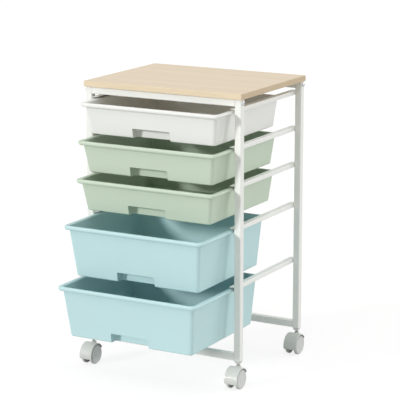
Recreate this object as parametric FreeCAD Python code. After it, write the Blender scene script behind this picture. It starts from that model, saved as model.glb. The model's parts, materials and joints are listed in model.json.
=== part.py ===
import FreeCAD, Part
import math
import os

# Rolling drawer cart: a white square tube frame with a wooden top, ten folded
# runner channels, five moulded drawers that hang by their rims, and four
# twin wheel casters.
# Millimetres. +X is the cart's right, -Y its front, +Z up. The floor is z = 0.
# The drawers are modelled partly pulled out, each by its own amount.

Vector = FreeCAD.Vector
X_AXIS = Vector(1, 0, 0)
Y_AXIS = Vector(0, 1, 0)
Z_AXIS = Vector(0, 0, 1)

# Cuts run past the faces that they open by this much
overrun = 3.0

# Whole cart
cart_height = 667.0
panel_width = 406.0
panel_depth = 320.0
panel_thickness = 13.0
panel_corner_radius = 2.5
panel_edge_radius = 1.2
side_overhang = 3.5
front_overhang = 5.0
rear_overhang = 1.5

# Square tube of the posts and cross rails
tube_size = 16.0
tube_wall = 1.2
tube_corner_radius = 2.0

# Runner channels, folded from sheet, one pair to each drawer. Their tops lie at
# these shares of the height between the posts' lower ends and the panel
channel_width = 14.0
channel_height = 10.0
channel_sheet = 1.0
channel_bend_radius = 1.6
channel_front_inset = 2.0
channel_rear_inset = 2.0
channel_stop_width = 8.0
channel_top_shares = (0.9628, 0.8193, 0.674, 0.5118, 0.2855)

# Drawers: shallow ones above, deep ones below
shallow_gap_below = 13.0
deep_gap_below = 16.0
drawer_rear_room = 10.5
drawer_wall = 2.2
drawer_floor = 2.6
drawer_corner_radius = 8.0
drawer_foot_radius = 3.0
shallow_side_taper = 10.0
deep_side_taper = 11.5
shallow_front_taper = 13.0
deep_front_taper = 16.0
rear_taper = 4.0
rim_front_reach = 6.0
rim_rear_reach = 6.0
rim_height = 4.0
front_lip_height = 8.0
rim_wall = 2.0
rim_corner_radius = 12.0
rim_roll_radius = 1.9
rim_hem_radius = 0.8
recess_width = 96.0
recess_height = 22.0
recess_depth = 24.0
recess_corner_radius = 3.0
pull_outs = (52.0, 64.0, 73.0, 126.0, 155.0)

# Clearances between a drawer and its runners
rim_side_clearance = 4.0
rim_rest_clearance = 0.1
wall_side_clearance = 1.0
lip_clearance = 1.0
stop_clearance = 0.5

# Bolts that hold the upper cross rails, and their inserts
bolt_radius = 3.0
bolt_hole_clearance = 0.25
bolt_head_radius = 5.5
bolt_head_height = 3.2
bolt_head_edge = 1.4
bolt_socket_radius = 1.9
bolt_socket_depth = 1.8
bolt_tip_gap = 2.0
insert_length = 14.0
insert_clearance = 0.15

# Screws that hold the panel, driven up through the upper cross rails
screw_radius = 2.0
screw_hole_clearance = 0.25
screw_head_radius = 4.0
screw_head_crown_radius = 2.8
screw_head_height = 2.4
screw_grip = 9.0
screw_pilot_clearance = 0.05
screw_end_distance = 60.0

# Caster sockets in the post ends
socket_hood_gap = 3.1
socket_collar_height = 8.0
socket_collar_end = 11.0
socket_collar_end_radius = 3.5
socket_sleeve_height = 26.0
socket_sleeve_clearance = 0.15
socket_roof = 3.0
socket_bore_clearance = 0.03

# Casters
wheel_radius = 23.0
wheel_width = 11.5
wheel_disc = 2.6
wheel_tread = 3.0
wheel_edge_radius = 1.6
wheel_hub_radius = 5.4
wheel_cap_radius = 8.0
wheel_cap_rise = 0.6
wheel_dish = 1.2
web_thickness = 9.4
web_foot_height = 13.0
web_core_radius = 20.0
wheel_web_gap = 0.3
axle_radius = 3.0
axle_fit = 0.02
axle_running_fit = 0.05
hood_gap = 1.2
hood_wall = 2.3
hood_width = 28.0
hood_edge_radius = 1.8
hood_skirt_height = 12.0
hood_tail_angle = 40.0
hood_collar_radius = 7.0
hood_collar_height = 1.4
stem_trail = 12.0
stem_radius = 4.0
stem_neck_radius = 5.2
stem_neck_gap = 0.3
stem_pin_radius = 3.0
stem_pin_depth = 20.0
stem_running_fit = 0.05
stem_ring_width = 3.0
stem_ring_depth = 0.6

# Places that follow from the sizes
hood_radius = wheel_radius + hood_gap + hood_wall
hood_top_z = wheel_radius + hood_radius
socket_bottom_z = hood_top_z + hood_collar_height + socket_hood_gap
post_bottom_height = socket_bottom_z + socket_collar_height
longest_pull = max(pull_outs)
closed_proud = rim_corner_radius - channel_front_inset + lip_clearance
half_width = panel_width / 2
post_outer_x = half_width - side_overhang
post_inner_x = post_outer_x - tube_size
post_depth = panel_depth - front_overhang - rear_overhang
reach_in_front = longest_pull + closed_proud - front_overhang
reach_behind = max(0, wheel_radius - stem_trail - tube_size / 2 - rear_overhang)
overall_depth = panel_depth + reach_in_front + reach_behind
panel_rear_y = overall_depth / 2 - reach_behind
panel_front_y = panel_rear_y - panel_depth
post_front_y = panel_front_y + front_overhang
post_rear_y = panel_rear_y - rear_overhang
panel_bottom_z = cart_height - panel_thickness
upper_rail_z = panel_bottom_z - tube_size
lower_rail_z = post_bottom_height
post_height = panel_bottom_z - post_bottom_height
channel_top_heights = tuple(post_bottom_height + share * post_height for share in channel_top_shares)
shallow_height = channel_top_heights[0] - channel_top_heights[1] - shallow_gap_below
deep_height = channel_top_heights[-2] - channel_top_heights[-1] - deep_gap_below
drawer_length = post_depth + closed_proud - drawer_rear_room
channel_front_y = post_front_y + channel_front_inset
channel_rear_y = post_rear_y - channel_rear_inset
rim_half_width = post_inner_x - channel_sheet - rim_side_clearance
wall_half_width = post_inner_x - channel_width - wall_side_clearance
closed_front_y = post_front_y - closed_proud
stop_front_y = closed_front_y + drawer_length + stop_clearance
rim_top_rise = rim_height + rim_rest_clearance + channel_sheet - channel_height
wheel_inner_x = web_thickness / 2 + wheel_web_gap
wheel_outer_x = wheel_inner_x + wheel_width
stem_top_z = post_bottom_height + socket_sleeve_height - socket_roof

SIDES = (("left", -1), ("right", 1))
ENDS = (("front", -1), ("rear", 1))


def save(name, solids):
    """Writes one node's STEP file from a solid or a list of solids."""
    shape = Part.makeCompound(solids) if isinstance(solids, list) else solids
    shape.exportStep(os.path.join("parts", name + ".step"))


def box(low, high):
    """A box between two corners."""
    size = high - low
    return Part.makeBox(size.x, size.y, size.z, low)


def rounded_outline(low, high, radius, z):
    """A closed wire: a rectangle with arcs at its corners, at height z."""
    x0, y0, x1, y1 = low[0], low[1], high[0], high[1]
    share = radius * (1 - math.sqrt(0.5))
    edges = []
    corners = (
        (Vector(x1 - radius, y0, z), Vector(x1 - share, y0 + share, z), Vector(x1, y0 + radius, z)),
        (Vector(x1, y1 - radius, z), Vector(x1 - share, y1 - share, z), Vector(x1 - radius, y1, z)),
        (Vector(x0 + radius, y1, z), Vector(x0 + share, y1 - share, z), Vector(x0, y1 - radius, z)),
        (Vector(x0, y0 + radius, z), Vector(x0 + share, y0 + share, z), Vector(x0 + radius, y0, z)),
    )
    for index, (start, middle, end) in enumerate(corners):
        following = corners[(index + 1) % len(corners)][0]
        edges.append(Part.Arc(start, middle, end).toShape())
        edges.append(Part.makeLine(end, following))
    return Part.Wire(edges)


def rounded_prism(low, high, radius):
    """A block between two corners whose upright edges are rounded."""
    outline = rounded_outline(low, high, radius, low.z)
    return Part.Face(outline).extrude(Vector(0, 0, high.z - low.z))


def upright_tube(low, high):
    """A length of the square tube standing on end, hollow and open at both ends."""
    outer = rounded_prism(low, high, tube_corner_radius)
    inset = Vector(tube_wall, tube_wall, -overrun)
    inner_low = low + inset
    inner_high = high - Vector(tube_wall, tube_wall, -overrun)
    return outer.cut(rounded_prism(inner_low, inner_high, tube_corner_radius - tube_wall))


def cross_tube(length):
    """A length of the square tube lying along X, centred on the origin."""
    half = tube_size / 2
    tube = upright_tube(Vector(-half, -half, 0), Vector(half, half, length))
    tube.rotate(Vector(0, 0, 0), Y_AXIS, 90)
    tube.translate(Vector(-length / 2, 0, 0))
    return tube


def fillet(shape, radius, chosen):
    """The shape with the edges that chosen accepts rounded."""
    return shape.makeFillet(radius, [edge for edge in shape.Edges if chosen(edge)])


def lies_at_height(z, tolerance=1e-4):
    """A test for edges that lie level at a height."""
    def test(edge):
        return abs(edge.BoundBox.ZMin - z) < tolerance and abs(edge.BoundBox.ZMax - z) < tolerance
    return test


def runs_along_y(x, z, tolerance=1e-4):
    """A test for edges that run along Y at one place across the part."""
    def test(edge):
        bounds = edge.BoundBox
        across = max(abs(bounds.XMin - x), abs(bounds.XMax - x))
        up = max(abs(bounds.ZMin - z), abs(bounds.ZMax - z))
        return across < tolerance and up < tolerance
    return test


# Top panel

def panel_screw_places():
    """Where the panel screws stand: two along each upper cross rail."""
    rail_ys = (post_front_y + tube_size / 2, post_rear_y - tube_size / 2)
    x = post_inner_x - screw_end_distance
    return [Vector(side * x, y, upper_rail_z) for y in rail_ys for side in (-1, 1)]


def make_panel():
    """The wooden top, with blind pilot holes for its screws underneath."""
    low = Vector(-half_width, panel_front_y, panel_bottom_z)
    high = Vector(half_width, panel_rear_y, cart_height)
    panel = rounded_prism(low, high, panel_corner_radius)
    panel = fillet(panel, panel_edge_radius, lies_at_height(cart_height))
    panel = fillet(panel, panel_edge_radius, lies_at_height(panel_bottom_z))
    for place in panel_screw_places():
        foot = Vector(place.x, place.y, panel_bottom_z - overrun)
        depth = screw_grip + screw_pilot_clearance + overrun
        panel = panel.cut(Part.makeCylinder(screw_radius + screw_pilot_clearance, depth, foot))
    return panel


def make_panel_screws():
    """Pan head screws that come up through the upper cross rails into the panel."""
    screws = []
    for place in panel_screw_places():
        shank = Part.makeCylinder(screw_radius, tube_size + screw_grip, place)
        head_foot = place - Vector(0, 0, screw_head_height)
        head = Part.makeCone(screw_head_crown_radius, screw_head_radius, screw_head_height, head_foot)
        screws.append(head.fuse(shank).removeSplitter())
    return screws


# Frame

def bolt_places():
    """Centre of each upper cross rail's end, with the side that it faces."""
    z = upper_rail_z + tube_size / 2
    rail_ys = (post_front_y + tube_size / 2, post_rear_y - tube_size / 2)
    return [(side, Vector(side * post_outer_x, y, z)) for y in rail_ys for _, side in SIDES]


def make_post(side, end):
    """One upright tube, with holes for the bolt of the upper cross rail."""
    x0 = post_inner_x if side > 0 else -post_outer_x
    y0 = post_front_y if end < 0 else post_rear_y - tube_size
    low = Vector(x0, y0, post_bottom_height)
    post = upright_tube(low, Vector(x0 + tube_size, y0 + tube_size, panel_bottom_z))
    centre = Vector(x0 - overrun, y0 + tube_size / 2, upper_rail_z + tube_size / 2)
    hole = Part.makeCylinder(bolt_radius + bolt_hole_clearance, tube_size + overrun * 2, centre, X_AXIS)
    return post.cut(hole)


def make_cross_rail(end, z):
    """One cross rail between the posts of an end, its underside at z."""
    half = tube_size / 2
    y = post_front_y + half if end < 0 else post_rear_y - half
    rail = cross_tube(post_inner_x * 2)
    rail.translate(Vector(0, y, z + half))
    if z == upper_rail_z:
        for place in panel_screw_places():
            if abs(place.y - y) < half:
                foot = place - Vector(0, 0, overrun)
                radius = screw_radius + screw_hole_clearance
                rail = rail.cut(Part.makeCylinder(radius, tube_size + overrun * 2, foot))
    return rail


def make_rail_inserts():
    """Threaded blocks pressed into the ends of the upper cross rails."""
    half = tube_size / 2 - tube_wall - insert_clearance
    inserts = []
    for side, place in bolt_places():
        face_x = side * post_inner_x
        far_x = side * (post_inner_x - insert_length)
        low = Vector(min(face_x, far_x), place.y - half, place.z - half)
        high = Vector(max(face_x, far_x), place.y + half, place.z + half)
        start = Vector(low.x - overrun, place.y, place.z)
        bore = Part.makeCylinder(bolt_radius + insert_clearance, insert_length + overrun * 2, start, X_AXIS)
        inserts.append(box(low, high).cut(bore))
    return inserts


def make_frame_bolts():
    """Button head bolts with a round socket, through the posts into the inserts."""
    length = tube_size + insert_length - bolt_tip_gap
    bolts = []
    for side, place in bolt_places():
        inward = Vector(-side, 0, 0)
        outward = Vector(side, 0, 0)
        shank = Part.makeCylinder(bolt_radius, length, place, inward)
        head = Part.makeCylinder(bolt_head_radius, bolt_head_height, place, outward)
        rim_x = place.x + side * bolt_head_height
        edges = [edge for edge in head.Edges if abs(edge.BoundBox.XMin - rim_x) < bolt_head_edge / 10
                 and abs(edge.BoundBox.XMax - rim_x) < bolt_head_edge / 10]
        head = head.makeFillet(bolt_head_edge, edges)
        mouth = place + outward * (bolt_head_height + overrun)
        socket = Part.makeCylinder(bolt_socket_radius, bolt_socket_depth + overrun, mouth, inward)
        bolts.append(head.fuse(shank).cut(socket).removeSplitter())
    return bolts


def make_channel(side, top_z):
    """One runner: a C of folded sheet, open towards the drawer, with a stop near its rear."""
    sheet = channel_sheet
    inner_x = post_inner_x - channel_width
    bottom_z = top_z - channel_height
    outer = box(Vector(inner_x, channel_front_y, bottom_z), Vector(post_inner_x, channel_rear_y, top_z))
    outer = fillet(outer, channel_bend_radius, runs_along_y(post_inner_x, top_z))
    outer = fillet(outer, channel_bend_radius, runs_along_y(post_inner_x, bottom_z))
    low = Vector(inner_x - overrun, channel_front_y - overrun, bottom_z + sheet)
    high = Vector(post_inner_x - sheet, channel_rear_y + overrun, top_z - sheet)
    channel = outer.cut(box(low, high))
    stop_low = Vector(post_inner_x - sheet - channel_stop_width, stop_front_y, bottom_z + sheet)
    stop_high = Vector(post_inner_x - sheet, stop_front_y + sheet, top_z - sheet)
    channel = channel.fuse(box(stop_low, stop_high)).removeSplitter()
    return channel if side > 0 else channel.mirror(Vector(0, 0, 0), X_AXIS)


# Drawers, in their own frame: the rim's front at y = 0, its top at z = 0

class DrawerForm:
    """The slopes of one drawer depth, and the sections that follow from them."""

    def __init__(self, height, side_taper, front_taper):
        self.height = height
        self.side_taper = side_taper
        self.front_taper = front_taper

    def corners(self, z, inset):
        """Corners of the body's section at height z, drawn in by inset."""
        share = -z / self.height
        half = wall_half_width - self.side_taper * share - inset
        front = rim_front_reach + self.front_taper * share + inset
        rear = drawer_length - rim_rear_reach - rear_taper * share - inset
        return (-half, front), (half, rear)

    def tub(self, bottom_z, top_z, inset):
        """The solid between two levels, drawn in by inset."""
        wires = []
        for z in (bottom_z, top_z):
            low, high = self.corners(z, inset)
            wires.append(rounded_outline(low, high, drawer_corner_radius - inset, z))
        return Part.makeLoft(wires, True, True)

    def recess(self, grow):
        """The finger recess under the front wall, grown by one wall for its inside."""
        half = recess_width / 2 + grow
        top = recess_height - self.height
        low_corner, _ = self.corners(top, 0)
        back = low_corner[1] + recess_depth + grow
        block = box(Vector(-half, -overrun, -self.height - overrun), Vector(half, back, top + grow))
        round_edges = [edge for edge in block.Edges
                       if edge.BoundBox.YMax - edge.BoundBox.YMin > back
                       and edge.BoundBox.ZMin > top + grow - overrun]
        return block.makeFillet(recess_corner_radius + grow, round_edges)


def make_rim():
    """The rim: a flat flange with a turned down edge, deeper along the front."""
    low = Vector(-rim_half_width, 0, -front_lip_height)
    high = Vector(rim_half_width, drawer_length, 0)
    rim = rounded_prism(low, high, rim_corner_radius)
    rim = fillet(rim, rim_roll_radius, lies_at_height(0))
    rim = fillet(rim, rim_hem_radius, lies_at_height(-front_lip_height))
    inset = Vector(rim_wall, rim_wall, 0)
    groove_low = low + inset - Vector(0, 0, overrun)
    groove_high = high - inset - Vector(0, 0, rim_wall)
    rim = rim.cut(rounded_prism(groove_low, groove_high, rim_corner_radius - rim_wall))
    trim_low = Vector(-rim_half_width - overrun, rim_corner_radius, -front_lip_height - overrun)
    trim_high = Vector(rim_half_width + overrun, drawer_length + overrun, -rim_height)
    return rim.cut(box(trim_low, trim_high))


def make_drawer(form):
    """One moulded drawer: tapered tub, rolled rim and finger recess."""
    outer = form.tub(-form.height, 0, 0)
    outer = fillet(outer, drawer_foot_radius, lies_at_height(-form.height))
    outer = outer.cut(form.recess(0))
    solid = make_rim().fuse(outer)
    inner = form.tub(drawer_floor - form.height, overrun, drawer_wall)
    inner = inner.cut(form.recess(drawer_wall))
    return solid.cut(inner).removeSplitter()


def place_drawer(drawer, number):
    """A copy of a drawer, hung in its runners and pulled out."""
    placed = drawer.copy()
    rim_top_z = channel_top_heights[number] + rim_top_rise
    placed.translate(Vector(0, closed_front_y - pull_outs[number], rim_top_z))
    return placed


# Casters, in their own frame: the swivel axis at x = 0, y = 0, the floor at z = 0

def make_socket():
    """The plug in a post's end: a square sleeve inside, a tapered collar below."""
    half = tube_size / 2
    sleeve_half = half - tube_wall - socket_sleeve_clearance
    end_half = socket_collar_end / 2
    top = rounded_outline((-half, -half), (half, half), tube_corner_radius, post_bottom_height)
    end_low, end_high = (-end_half, -end_half), (end_half, end_half)
    end = rounded_outline(end_low, end_high, socket_collar_end_radius, socket_bottom_z)
    collar = Part.makeLoft([end, top], True, True)
    sleeve_low = Vector(-sleeve_half, -sleeve_half, post_bottom_height)
    sleeve_high = Vector(sleeve_half, sleeve_half, post_bottom_height + socket_sleeve_height)
    sleeve = box(sleeve_low, sleeve_high)
    bore_depth = stem_top_z - socket_bottom_z + socket_bore_clearance
    bore = Part.makeCylinder(stem_radius + socket_bore_clearance, bore_depth, Vector(0, 0, socket_bottom_z))
    return collar.fuse(sleeve).cut(bore).removeSplitter()


def make_stem():
    """The steel stem: a shaft in the socket, a neck, and the pin that the hood turns on."""
    neck_low = hood_top_z + hood_collar_height + stem_neck_gap
    shaft = Part.makeCylinder(stem_radius, stem_top_z - socket_bottom_z, Vector(0, 0, socket_bottom_z))
    neck = Part.makeCylinder(stem_neck_radius, socket_bottom_z - neck_low, Vector(0, 0, neck_low))
    pin_low = hood_top_z - stem_pin_depth
    pin = Part.makeCylinder(stem_pin_radius, neck_low - pin_low, Vector(0, 0, pin_low))
    ring_low = stem_top_z - stem_ring_width * 2
    ring = Part.makeCylinder(stem_radius + overrun, stem_ring_width, Vector(0, 0, ring_low))
    core = Part.makeCylinder(stem_radius - stem_ring_depth, stem_ring_width, Vector(0, 0, ring_low))
    return shaft.fuse([neck, pin]).cut(ring.cut(core)).removeSplitter()


def polar(radius, degrees):
    """A point in the caster's side view, round the axle: 0 is forwards, 90 up."""
    angle = math.radians(degrees)
    return Vector(0, -stem_trail - radius * math.cos(angle), wheel_radius + radius * math.sin(angle))


def make_hood():
    """The caster's body: a curved hood over both wheels and a web between them."""
    skirt = math.degrees(math.asin((hood_skirt_height - wheel_radius) / hood_radius))
    tail = 180 - hood_tail_angle
    middle = (skirt + tail) / 2
    inner_radius = hood_radius - hood_wall
    outer_arc = Part.Arc(polar(hood_radius, skirt), polar(hood_radius, middle), polar(hood_radius, tail))
    inner_arc = Part.Arc(polar(inner_radius, tail), polar(inner_radius, middle), polar(inner_radius, skirt))
    outline = Part.Wire([
        outer_arc.toShape(),
        Part.makeLine(polar(hood_radius, tail), polar(inner_radius, tail)),
        inner_arc.toShape(),
        Part.makeLine(polar(inner_radius, skirt), polar(hood_radius, skirt)),
    ])
    hood = Part.Face(outline).extrude(X_AXIS * hood_width)
    hood.translate(X_AXIS * (-hood_width / 2))
    half = hood_width / 2
    sides = [edge for edge in hood.Edges
             if abs(abs(edge.BoundBox.XMin) - half) < hood_edge_radius / 10
             and abs(edge.BoundBox.XMin - edge.BoundBox.XMax) < hood_edge_radius / 10
             and edge.Length > inner_radius * math.radians(tail - skirt) + hood_wall / 2]
    hood = hood.makeFillet(hood_edge_radius, sides)
    web_radius = inner_radius + hood_wall / 2
    web_outline = Part.Wire([
        Part.Arc(polar(web_radius, skirt), polar(web_radius, middle), polar(web_radius, tail)).toShape(),
        Part.makeLine(polar(web_radius, tail), polar(0, 0)),
        Part.makeLine(polar(0, 0), polar(web_radius, skirt)),
    ])
    web = Part.Face(web_outline).extrude(X_AXIS * web_thickness)
    web.translate(X_AXIS * (-web_thickness / 2))
    core_start = Vector(-web_thickness / 2, -stem_trail, wheel_radius)
    web = web.fuse(Part.makeCylinder(web_core_radius, web_thickness, core_start, X_AXIS))
    bounds = web.BoundBox
    low = Vector(bounds.XMin - overrun, bounds.YMin - overrun, -overrun)
    web = web.cut(box(low, Vector(bounds.XMax + overrun, bounds.YMax + overrun, web_foot_height)))
    collar_foot = Vector(0, 0, hood_top_z - stem_trail)
    collar = Part.makeCylinder(hood_collar_radius, stem_trail + hood_collar_height, collar_foot)
    inside = Part.makeCylinder(inner_radius, hood_width, Vector(-half, -stem_trail, wheel_radius), X_AXIS)
    hood = hood.fuse(collar.cut(inside)).fuse(web).removeSplitter()
    pin_low = hood_top_z - stem_pin_depth - stem_running_fit
    bore_length = stem_pin_depth + stem_trail
    bore = Part.makeCylinder(stem_pin_radius + stem_running_fit, bore_length, Vector(0, 0, pin_low))
    axle_start = Vector(-web_thickness, -stem_trail, wheel_radius)
    axle_bore = Part.makeCylinder(axle_radius + axle_fit, web_thickness * 2, axle_start, X_AXIS)
    return hood.cut(bore.fuse(axle_bore))


def make_axle():
    """The axle, through the web and into both hubs."""
    half = wheel_outer_x - wheel_disc - axle_running_fit
    return Part.makeCylinder(axle_radius, half * 2, Vector(-half, -stem_trail, wheel_radius), X_AXIS)


def make_wheel(side):
    """One wheel: tread, slightly dished outer disc with a raised cap, and a hub, open inwards."""
    inner_x = wheel_inner_x
    outer_x = wheel_outer_x
    disc_x = outer_x - wheel_disc
    dish_x = outer_x - wheel_dish
    cap_x = dish_x + wheel_cap_rise
    ring = wheel_radius - wheel_tread
    edge = wheel_edge_radius
    bore = axle_radius + axle_running_fit
    bottom = math.sqrt(0.5)

    def at(x, radius):
        return Vector(x, radius, 0)

    corner = at(outer_x - edge + edge * bottom, wheel_radius - edge + edge * bottom)
    pieces = [
        Part.makeLine(at(inner_x, wheel_radius), at(outer_x - edge, wheel_radius)),
        Part.Arc(at(outer_x - edge, wheel_radius), corner, at(outer_x, wheel_radius - edge)).toShape(),
        Part.makeLine(at(outer_x, wheel_radius - edge), at(outer_x, ring)),
        Part.makeLine(at(outer_x, ring), at(dish_x, wheel_cap_radius + wheel_dish)),
        Part.makeLine(at(dish_x, wheel_cap_radius + wheel_dish), at(dish_x, wheel_cap_radius)),
        Part.makeLine(at(dish_x, wheel_cap_radius), at(cap_x, wheel_cap_radius - wheel_cap_rise)),
        Part.makeLine(at(cap_x, wheel_cap_radius - wheel_cap_rise), at(cap_x, 0)),
        Part.makeLine(at(cap_x, 0), at(disc_x, 0)),
        Part.makeLine(at(disc_x, 0), at(disc_x, bore)),
        Part.makeLine(at(disc_x, bore), at(inner_x, bore)),
        Part.makeLine(at(inner_x, bore), at(inner_x, wheel_hub_radius)),
        Part.makeLine(at(inner_x, wheel_hub_radius), at(disc_x, wheel_hub_radius)),
        Part.makeLine(at(disc_x, wheel_hub_radius), at(disc_x, ring)),
        Part.makeLine(at(disc_x, ring), at(inner_x, ring)),
        Part.makeLine(at(inner_x, ring), at(inner_x, wheel_radius)),
    ]
    wheel = Part.Face(Part.Wire(pieces)).revolve(Vector(0, 0, 0), X_AXIS, 360)
    wheel.translate(Vector(0, -stem_trail, wheel_radius))
    return wheel if side > 0 else wheel.mirror(Vector(0, 0, 0), X_AXIS)


def post_centre(side, end):
    """The middle of a post's section, where its caster swivels."""
    half = tube_size / 2
    y = post_front_y + half if end < 0 else post_rear_y - half
    return Vector(side * (post_outer_x - half), y, 0)


# Build

os.makedirs("parts", exist_ok=True)

save("top_panel", make_panel())
save("panel_screws", make_panel_screws())
save("frame_bolts", make_frame_bolts())
save("rail_inserts", make_rail_inserts())

for end_name, end in ENDS:
    save(end_name + "_top_rail", make_cross_rail(end, upper_rail_z))
    save(end_name + "_bottom_rail", make_cross_rail(end, lower_rail_z))
    for side_name, side in SIDES:
        save(end_name + "_" + side_name + "_post", make_post(side, end))

for number, top_z in enumerate(channel_top_heights):
    for side_name, side in SIDES:
        save(side_name + "_runner_" + str(number + 1), make_channel(side, top_z))

shallow = make_drawer(DrawerForm(shallow_height, shallow_side_taper, shallow_front_taper))
deep = make_drawer(DrawerForm(deep_height, deep_side_taper, deep_front_taper))
for number, drawer in enumerate((shallow, shallow, shallow, deep, deep)):
    save("drawer_" + str(number + 1), place_drawer(drawer, number))

caster = {"socket": make_socket(), "stem": make_stem(), "hood": make_hood(), "axle": make_axle()}
for side_name, side in SIDES:
    caster["wheel_" + side_name] = make_wheel(side)
for end_name, end in ENDS:
    for side_name, side in SIDES:
        for piece, shape in caster.items():
            placed = shape.copy()
            placed.translate(post_centre(side, end))
            save(end_name + "_" + side_name + "_caster_" + piece, placed)
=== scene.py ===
import json
import logging
import math
from dataclasses import dataclass
from enum import Enum
from typing import Callable, Dict, Iterable, List, Optional, Sequence, Set, Tuple, Union

import bmesh
import bpy
from mathutils import Matrix, Vector


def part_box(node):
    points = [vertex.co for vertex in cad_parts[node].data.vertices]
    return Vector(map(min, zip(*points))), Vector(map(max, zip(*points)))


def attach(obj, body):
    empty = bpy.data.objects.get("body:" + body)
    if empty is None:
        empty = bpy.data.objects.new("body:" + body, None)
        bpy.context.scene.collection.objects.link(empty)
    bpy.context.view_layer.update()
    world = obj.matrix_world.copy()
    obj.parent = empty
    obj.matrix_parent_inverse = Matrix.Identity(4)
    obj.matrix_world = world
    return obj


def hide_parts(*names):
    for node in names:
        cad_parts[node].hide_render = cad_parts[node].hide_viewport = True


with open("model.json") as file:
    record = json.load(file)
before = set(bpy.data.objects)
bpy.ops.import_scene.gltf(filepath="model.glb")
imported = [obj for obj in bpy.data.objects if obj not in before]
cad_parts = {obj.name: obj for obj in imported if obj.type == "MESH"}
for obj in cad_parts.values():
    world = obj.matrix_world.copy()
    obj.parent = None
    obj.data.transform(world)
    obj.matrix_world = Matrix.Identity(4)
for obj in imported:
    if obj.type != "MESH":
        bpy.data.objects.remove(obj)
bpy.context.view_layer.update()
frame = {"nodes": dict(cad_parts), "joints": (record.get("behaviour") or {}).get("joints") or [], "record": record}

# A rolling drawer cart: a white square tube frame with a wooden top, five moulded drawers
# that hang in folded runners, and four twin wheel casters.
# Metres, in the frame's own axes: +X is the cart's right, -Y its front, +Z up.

IMAGE_PIXELS = 400
MERGE_DISTANCE = 1e-6    # vertices nearer than this are one
NEAR = 1e-5              # places nearer than this count as the same
ALIGNED = 0.99           # the cosine past which two directions count as the same

Colour = Tuple[float, float, float, float]
Place = Union[Vector, Tuple[float, float, float]]
Outline = Sequence[Tuple[float, float]]
Vert = bmesh.types.BMVert
Edge = bmesh.types.BMEdge
Face = bmesh.types.BMFace
Element = Union[Vert, Edge, Face]

WHITE: Colour = (1.0, 1.0, 1.0, 1.0)
BLACK: Colour = (0.0, 0.0, 0.0, 1.0)

log = logging.getLogger("drawer_cart")


class Way(Enum):
    """One of two ways along an axis, named as in the nodes' names."""

    @property
    def word(self) -> str:
        """The word that node names use."""
        return self.name.lower()


class Side(Way):
    """The cart's left and right, as signs of X."""

    LEFT = -1
    RIGHT = 1

    @property
    def out(self) -> Vector:
        """The unit vector towards this side."""
        return Vector((self.value, 0.0, 0.0))


class End(Way):
    """The cart's front and rear, as signs of Y."""

    FRONT = -1
    REAR = 1


class Axis(Enum):
    """The frame's axes."""

    X = 0
    Y = 1
    Z = 2

    @property
    def direction(self) -> Vector:
        """The unit vector along the axis."""
        return Vector([float(index == self.value) for index in range(3)])


def middle(node: str) -> Vector:
    """The middle of a node's box."""
    low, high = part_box(node)
    return (low + high) / 2


def post_name(end: End, side: Side) -> str:
    """The node of one of the four posts."""
    return f"{end.word}_{side.word}_post"


def lies_at(edge: Edge, axis: Axis, value: float) -> bool:
    """Says whether both ends of an edge lie at a value along an axis."""
    return all(abs(vert.co[axis.value] - value) < NEAR for vert in edge.verts)


def runs_along(edge: Edge, axis: Axis) -> bool:
    """Says whether an edge runs along an axis."""
    span = edge.verts[1].co - edge.verts[0].co
    return abs(span.normalized().dot(axis.direction)) > ALIGNED


def only(kind: type, items: Iterable[Element]) -> List[Element]:
    """The items of one kind, in their order."""
    return [item for item in items if isinstance(item, kind)]


def with_parts(faces: Iterable[Face]) -> List[Element]:
    """Faces with their vertices and edges, each of them once."""
    return list(dict.fromkeys(item for face in faces for item in (*face.verts, *face.edges, face)))


def rounded(along: float, radius: float, size: float, steps: int = 5) -> Outline:
    """The points of a rounded corner in a turned outline, from its radius inwards.

    Args:
        along: Where the corner ends along the axis.
        radius: The outline's radius before the corner.
        size: The corner's own radius.
        steps: The number of steps round the corner.

    Returns:
        Pairs of a place along the axis and a radius.
    """
    turns = [math.pi / 2 * step / steps for step in range(steps + 1)]
    return [
        (along - size + size * math.sin(turn), radius - size + size * math.cos(turn))
        for turn in turns
    ]


def shown_colour(red: int, green: int, blue: int) -> Colour:
    """Turns a colour as a screen shows it into the linear values that a shader takes.

    Args:
        red: The red level, 0 to 255.
        green: The green level, 0 to 255.
        blue: The blue level, 0 to 255.

    Returns:
        The linear colour, with an alpha of 1.
    """
    def linear(level: int) -> float:
        """One channel, from its shown level to its linear value."""
        share = level / 255
        return share / 12.92 if share <= 0.04045 else ((share + 0.055) / 1.055) ** 2.4

    return (linear(red), linear(green), linear(blue), 1.0)


class Signal:
    """One output of a node, on which arithmetic adds Math nodes."""

    def __init__(self, graph: "Graph", socket: Optional[bpy.types.NodeSocket]) -> None:
        """Keeps the socket with the graph that it belongs to."""
        self.graph = graph
        self.socket = socket

    def _math(self, operation: str, first: "Value", second: "Value") -> "Signal":
        """Adds one Math node."""
        return self.graph.node("ShaderNodeMath", {"operation": operation}, {0: first, 1: second})

    def __add__(self, other: "Value") -> "Signal":
        """This signal plus another value."""
        return self._math("ADD", self, other)

    __radd__ = __add__

    def __mul__(self, other: "Value") -> "Signal":
        """This signal times another value."""
        return self._math("MULTIPLY", self, other)

    __rmul__ = __mul__


Value = Union[float, Signal]


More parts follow.
